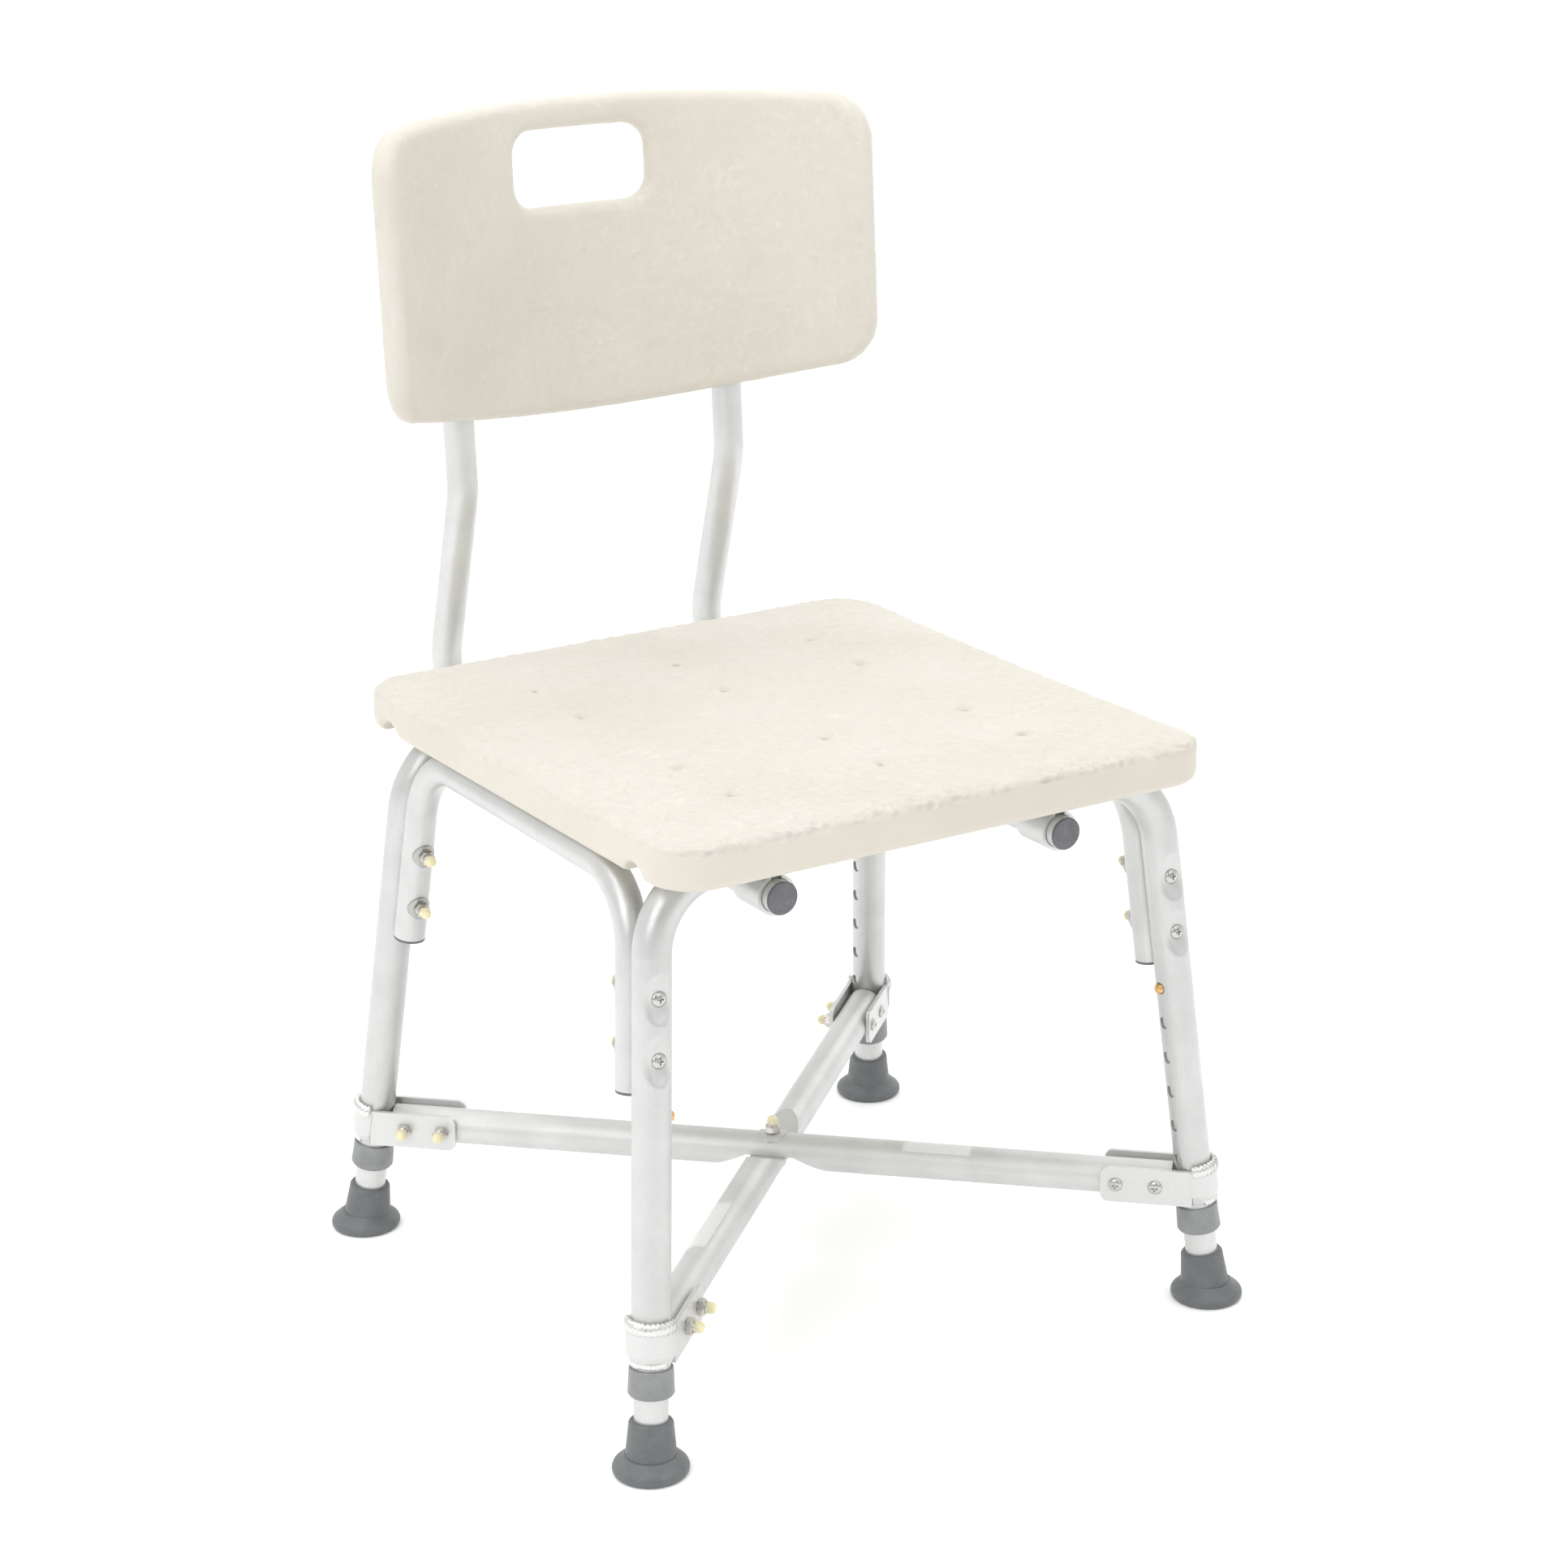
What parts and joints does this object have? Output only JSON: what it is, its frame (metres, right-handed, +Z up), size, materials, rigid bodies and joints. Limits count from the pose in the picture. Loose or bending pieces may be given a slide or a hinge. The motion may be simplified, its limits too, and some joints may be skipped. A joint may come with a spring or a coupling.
{
  "type": "shower chair",
  "caption": "Shower chair: moulded drained seat, curved backrest with a hand hole, cross-braced splayed legs with snap-button height adjustment.",
  "frame": {"origin": "on the floor, below the middle of the outline", "axes": "+Z up; the sitter faces -Y, with the backrest at +Y; +X is to the right of someone looking at the chair from the front"},
  "size_m": [0.5, 0.5156, 0.8006],
  "materials": {
    "seat_plastic": "off-white, pebbled leather grain",
    "backrest_plastic": "off-white, pebbled leather grain",
    "tube_aluminium": "satin, drawn",
    "bracket_aluminium": "satin, pressed",
    "collar_plastic": "matte slate grey",
    "plug_plastic": "matte slate grey",
    "tip_rubber": "matte slate grey",
    "spring_steel": "spring steel",
    "button_brass": "satin",
    "cap_plastic": "ivory, slightly clear",
    "fastener_zinc": "zinc plated"
  },
  "bodies": {
    "frame": {"front_leg_frame": "tube_aluminium", "rear_leg_frame": "tube_aluminium", "side_rail_left": "tube_aluminium", "side_rail_right": "tube_aluminium", "side_rail_plugs": "plug_plastic", "frame_bolts": "fastener_zinc", "frame_washers": "fastener_zinc", "frame_nuts": "fastener_zinc", "frame_thread_caps": "cap_plastic", "brace_tube_upper": "tube_aluminium", "brace_tube_lower": "tube_aluminium", "brace_bracket_front_left": "bracket_aluminium", "brace_bracket_front_right": "bracket_aluminium", "brace_bracket_rear_left": "bracket_aluminium", "brace_bracket_rear_right": "bracket_aluminium", "brace_bolts": "fastener_zinc", "brace_nuts": "fastener_zinc", "brace_thread_caps": "cap_plastic", "centre_bolt": "fastener_zinc", "centre_washers": "fastener_zinc", "centre_nut": "fastener_zinc", "centre_thread_cap": "cap_plastic", "leg_collars": "collar_plastic", "saddle_front_left": "bracket_aluminium", "saddle_front_right": "bracket_aluminium", "saddle_rear_left": "bracket_aluminium", "saddle_rear_right": "bracket_aluminium", "seat_panel": "seat_plastic", "seat_screws": "fastener_zinc"},
    "backrest": {"backrest_panel": "backrest_plastic", "backrest_tube_left": "tube_aluminium", "backrest_tube_right": "tube_aluminium", "backrest_tube_plugs": "plug_plastic", "backrest_screws": "fastener_zinc", "backrest_button_spring_left": "spring_steel", "backrest_button_spring_right": "spring_steel"},
    "backrest_button_left": {"backrest_button_left": "button_brass"},
    "backrest_button_right": {"backrest_button_right": "button_brass"},
    "leg_end_front_left": {"leg_extension_front_left": "tube_aluminium", "leg_tip_front_left": "tip_rubber", "leg_button_spring_front_left": "spring_steel"},
    "leg_button_front_left": {"leg_button_front_left": "button_brass"},
    "leg_end_front_right": {"leg_extension_front_right": "tube_aluminium", "leg_tip_front_right": "tip_rubber", "leg_button_spring_front_right": "spring_steel"},
    "leg_button_front_right": {"leg_button_front_right": "button_brass"},
    "leg_end_rear_left": {"leg_extension_rear_left": "tube_aluminium", "leg_tip_rear_left": "tip_rubber", "leg_button_spring_rear_left": "spring_steel"},
    "leg_button_rear_left": {"leg_button_rear_left": "button_brass"},
    "leg_end_rear_right": {"leg_extension_rear_right": "tube_aluminium", "leg_tip_rear_right": "tip_rubber", "leg_button_spring_rear_right": "spring_steel"},
    "leg_button_rear_right": {"leg_button_rear_right": "button_brass"}
  },
  "joints": [
    {"name": "leg_height_front_left", "type": "slide", "parent": "frame", "child": "leg_end_front_left", "axis": [-0.0799, -0.0953, -0.9922], "range_m": [0, 0.127], "deforming": ["leg_button_front_left", "leg_button_spring_front_left"]},
    {"name": "leg_button_press_front_left", "type": "slide", "parent": "leg_end_front_left", "child": "leg_button_front_left", "axis": [-0.9968, 0.0076, 0.0795], "range_m": [0, 0.0047], "stiffness_N_per_m": 600, "springref_m": -0.006, "deforming": ["leg_button_spring_front_left"]},
    {"name": "leg_height_front_right", "type": "slide", "parent": "frame", "child": "leg_end_front_right", "axis": [0.0799, -0.0953, -0.9922], "range_m": [0, 0.127], "deforming": ["leg_button_front_right", "leg_button_spring_front_right"]},
    {"name": "leg_button_press_front_right", "type": "slide", "parent": "leg_end_front_right", "child": "leg_button_front_right", "axis": [0.9968, 0.0076, 0.0795], "range_m": [0, 0.0047], "stiffness_N_per_m": 600, "springref_m": -0.006, "deforming": ["leg_button_spring_front_right"]},
    {"name": "leg_height_rear_left", "type": "slide", "parent": "frame", "child": "leg_end_rear_left", "axis": [-0.0796, 0.1285, -0.9885], "range_m": [0, 0.127], "deforming": ["leg_button_rear_left", "leg_button_spring_rear_left"]},
    {"name": "leg_button_press_rear_left", "type": "slide", "parent": "leg_end_rear_left", "child": "leg_button_rear_left", "axis": [-0.9968, -0.0103, 0.0789], "range_m": [0, 0.0047], "stiffness_N_per_m": 600, "springref_m": -0.006, "deforming": ["leg_button_spring_rear_left"]},
    {"name": "leg_height_rear_right", "type": "slide", "parent": "frame", "child": "leg_end_rear_right", "axis": [0.0796, 0.1285, -0.9885], "range_m": [0, 0.127], "deforming": ["leg_button_rear_right", "leg_button_spring_rear_right"]},
    {"name": "leg_button_press_rear_right", "type": "slide", "parent": "leg_end_rear_right", "child": "leg_button_rear_right", "axis": [0.9968, -0.0103, 0.0789], "range_m": [0, 0.0047], "stiffness_N_per_m": 600, "springref_m": -0.006, "deforming": ["leg_button_spring_rear_right"]},
    {"name": "backrest_slide", "type": "slide", "parent": "frame", "child": "backrest", "axis": [0, 1, 0], "range_m": [0, 0.37], "deforming": ["backrest_button_left", "backrest_button_right", "backrest_button_spring_left", "backrest_button_spring_right"]},
    {"name": "backrest_button_press_left", "type": "slide", "parent": "backrest", "child": "backrest_button_left", "axis": [0, 0, 1], "range_m": [0, 0.0047], "stiffness_N_per_m": 600, "springref_m": -0.006, "deforming": ["backrest_button_spring_left"]},
    {"name": "backrest_button_press_right", "type": "slide", "parent": "backrest", "child": "backrest_button_right", "axis": [0, 0, 1], "range_m": [0, 0.0047], "stiffness_N_per_m": 600, "springref_m": -0.006, "deforming": ["backrest_button_spring_right"]}
  ]
}
